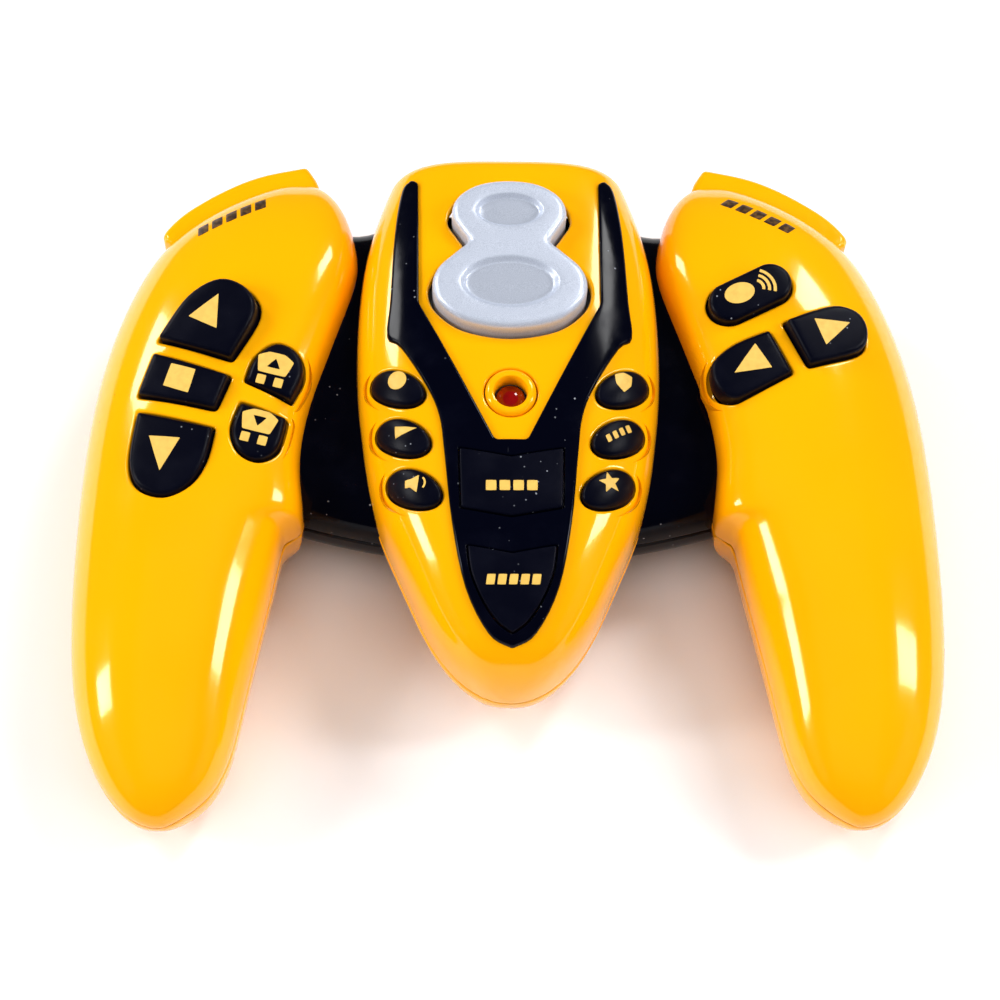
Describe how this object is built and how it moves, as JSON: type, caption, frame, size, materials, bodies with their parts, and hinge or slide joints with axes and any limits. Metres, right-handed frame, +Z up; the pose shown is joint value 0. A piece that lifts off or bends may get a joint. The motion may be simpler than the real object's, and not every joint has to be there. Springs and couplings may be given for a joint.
{
  "type": "handheld infrared remote controller",
  "caption": "Two-grip handheld remote controller with a raised centre pod, rubber keys, a rocking two-lobed key, an indicator and shoulder triggers.",
  "frame": {"origin": "centre of the controller's footprint, on the plane that its foot pads rest on", "axes": "+X to the user's right, +Y away from the user towards the triggers, +Z up out of the key face"},
  "size_m": [0.1468, 0.1228, 0.0397],
  "materials": {
    "yellow_gloss": "glossy moulded yellow",
    "black_gloss": "glossy moulded black",
    "key_rubber": "satin dark rubber",
    "silver_paint": "silver painted plastic, finely speckled",
    "lens_red": "dark red clear lens",
    "window_black": "near-black infrared window",
    "circuit_board": "green lacquer",
    "membrane": "matt grey",
    "steel": "plated",
    "cell_wrap": "printed wrap",
    "wire": "insulation",
    "switch_plastic": "moulded",
    "foot_rubber": "matt"
  },
  "bodies": {
    "handset": {"battery_cell_1": "cell_wrap", "battery_cell_2": "cell_wrap", "battery_cell_3": "cell_wrap", "bridge_lower_shell": "black_gloss", "bridge_upper_shell": "black_gloss", "centre_keypad_membrane": "membrane", "centre_lower_shell": "yellow_gloss", "centre_upper_shell": "yellow_gloss", "face_inlay": "black_gloss", "indicator_bezel": "yellow_gloss", "indicator_led": "lens_red", "ir_emitter": "window_black", "ir_window": "window_black", "left_battery_contacts": "steel", "left_case_screw_back": "steel", "left_case_screw_front": "steel", "left_circuit_board": "circuit_board", "left_foot_pad": "foot_rubber", "left_grip_lower_shell": "yellow_gloss", "left_grip_upper_shell": "yellow_gloss", "left_keypad_membrane": "membrane", "left_trigger_pin": "steel", "left_trigger_switch": "switch_plastic", "left_wire_loom": "wire", "main_circuit_board": "circuit_board", "nose_screw": "steel", "right_battery_contacts": "steel", "right_case_screw_back": "steel", "right_case_screw_front": "steel", "right_circuit_board": "circuit_board", "right_foot_pad": "foot_rubber", "right_grip_lower_shell": "yellow_gloss", "right_grip_upper_shell": "yellow_gloss", "right_keypad_membrane": "membrane", "right_trigger_pin": "steel", "right_trigger_switch": "switch_plastic", "right_wire_loom": "wire"},
    "key_up": {"key_up": "key_rubber"},
    "key_stop": {"key_stop": "key_rubber"},
    "key_down": {"key_down": "key_rubber"},
    "key_raise": {"key_raise": "key_rubber"},
    "key_lower": {"key_lower": "key_rubber"},
    "key_signal": {"key_signal": "key_rubber"},
    "key_left": {"key_left": "key_rubber"},
    "key_right": {"key_right": "key_rubber"},
    "key_record": {"key_record": "key_rubber"},
    "key_play": {"key_play": "key_rubber"},
    "key_sound": {"key_sound": "key_rubber"},
    "key_shield": {"key_shield": "key_rubber"},
    "key_auto": {"key_auto": "key_rubber"},
    "key_guard": {"key_guard": "key_rubber"},
    "key_mode": {"key_mode": "key_rubber"},
    "key_select": {"key_select": "key_rubber"},
    "rocker_key": {"rocker_key": "silver_paint"},
    "left_trigger": {"left_trigger": "yellow_gloss"},
    "right_trigger": {"right_trigger": "yellow_gloss"},
    "battery_cover": {"battery_door": "black_gloss", "battery_door_screw": "steel"}
  },
  "joints": [
    {"name": "press_up", "type": "slide", "parent": "handset", "child": "key_up", "axis": [0.1182, 0.128, -0.9847], "range_m": [0, 0.001], "stiffness_N_per_m": 300, "springref_m": -0.0003},
    {"name": "press_stop", "type": "slide", "parent": "handset", "child": "key_stop", "axis": [0.1182, 0.128, -0.9847], "range_m": [0, 0.001], "stiffness_N_per_m": 300, "springref_m": -0.0003},
    {"name": "press_down", "type": "slide", "parent": "handset", "child": "key_down", "axis": [0.1182, 0.128, -0.9847], "range_m": [0, 0.001], "stiffness_N_per_m": 300, "springref_m": -0.0003},
    {"name": "press_raise", "type": "slide", "parent": "handset", "child": "key_raise", "axis": [-0.0198, 0.1289, -0.9915], "range_m": [0, 0.001], "stiffness_N_per_m": 300, "springref_m": -0.0003},
    {"name": "press_lower", "type": "slide", "parent": "handset", "child": "key_lower", "axis": [-0.0198, 0.1289, -0.9915], "range_m": [0, 0.001], "stiffness_N_per_m": 300, "springref_m": -0.0003},
    {"name": "press_signal", "type": "slide", "parent": "handset", "child": "key_signal", "axis": [0.0198, 0.1289, -0.9915], "range_m": [0, 0.001], "stiffness_N_per_m": 300, "springref_m": -0.0003},
    {"name": "press_left", "type": "slide", "parent": "handset", "child": "key_left", "axis": [0.0198, 0.1289, -0.9915], "range_m": [0, 0.001], "stiffness_N_per_m": 300, "springref_m": -0.0003},
    {"name": "press_right", "type": "slide", "parent": "handset", "child": "key_right", "axis": [-0.1182, 0.128, -0.9847], "range_m": [0, 0.001], "stiffness_N_per_m": 300, "springref_m": -0.0003},
    {"name": "press_record", "type": "slide", "parent": "handset", "child": "key_record", "axis": [0, 0.0995, -0.995], "range_m": [0, 0.001], "stiffness_N_per_m": 300, "springref_m": -0.0003},
    {"name": "press_play", "type": "slide", "parent": "handset", "child": "key_play", "axis": [0, 0.0995, -0.995], "range_m": [0, 0.001], "stiffness_N_per_m": 300, "springref_m": -0.0003},
    {"name": "press_sound", "type": "slide", "parent": "handset", "child": "key_sound", "axis": [0, 0.0995, -0.995], "range_m": [0, 0.001], "stiffness_N_per_m": 300, "springref_m": -0.0003},
    {"name": "press_shield", "type": "slide", "parent": "handset", "child": "key_shield", "axis": [0, 0.0995, -0.995], "range_m": [0, 0.001], "stiffness_N_per_m": 300, "springref_m": -0.0003},
    {"name": "press_auto", "type": "slide", "parent": "handset", "child": "key_auto", "axis": [0, 0.0995, -0.995], "range_m": [0, 0.001], "stiffness_N_per_m": 300, "springref_m": -0.0003},
    {"name": "press_guard", "type": "slide", "parent": "handset", "child": "key_guard", "axis": [0, 0.0995, -0.995], "range_m": [0, 0.001], "stiffness_N_per_m": 300, "springref_m": -0.0003},
    {"name": "press_mode", "type": "slide", "parent": "handset", "child": "key_mode", "axis": [0, 0.0995, -0.995], "range_m": [0, 0.001], "stiffness_N_per_m": 300, "springref_m": -0.0003},
    {"name": "press_select", "type": "slide", "parent": "handset", "child": "key_select", "axis": [0, 0.2425, -0.9701], "range_m": [0, 0.001], "stiffness_N_per_m": 300, "springref_m": -0.0003},
    {"name": "rocker_tilt", "type": "hinge", "parent": "handset", "child": "rocker_key", "pos_m": [0, 0.03404, 0.0351], "axis": [1, 0, 0], "range_deg": [-4, 4], "stiffness_Nm_per_rad": 0.06},
    {"name": "left_trigger_turn", "type": "hinge", "parent": "handset", "child": "left_trigger", "pos_m": [-0.0366, 0.0532, 0.0171], "axis": [0, 0, 1], "range_deg": [0, 4], "stiffness_Nm_per_rad": 0.05, "springref_deg": -5.73},
    {"name": "right_trigger_turn", "type": "hinge", "parent": "handset", "child": "right_trigger", "pos_m": [0.0366, 0.0532, 0.0171], "axis": [0, 0, 1], "range_deg": [-4, 0], "stiffness_Nm_per_rad": 0.05, "springref_deg": 5.73},
    {"name": "battery_door_swing", "type": "hinge", "parent": "handset", "child": "battery_cover", "pos_m": [0, 0.04, 0.0024], "axis": [1, 0, 0], "range_deg": [0, 100]}
  ]
}
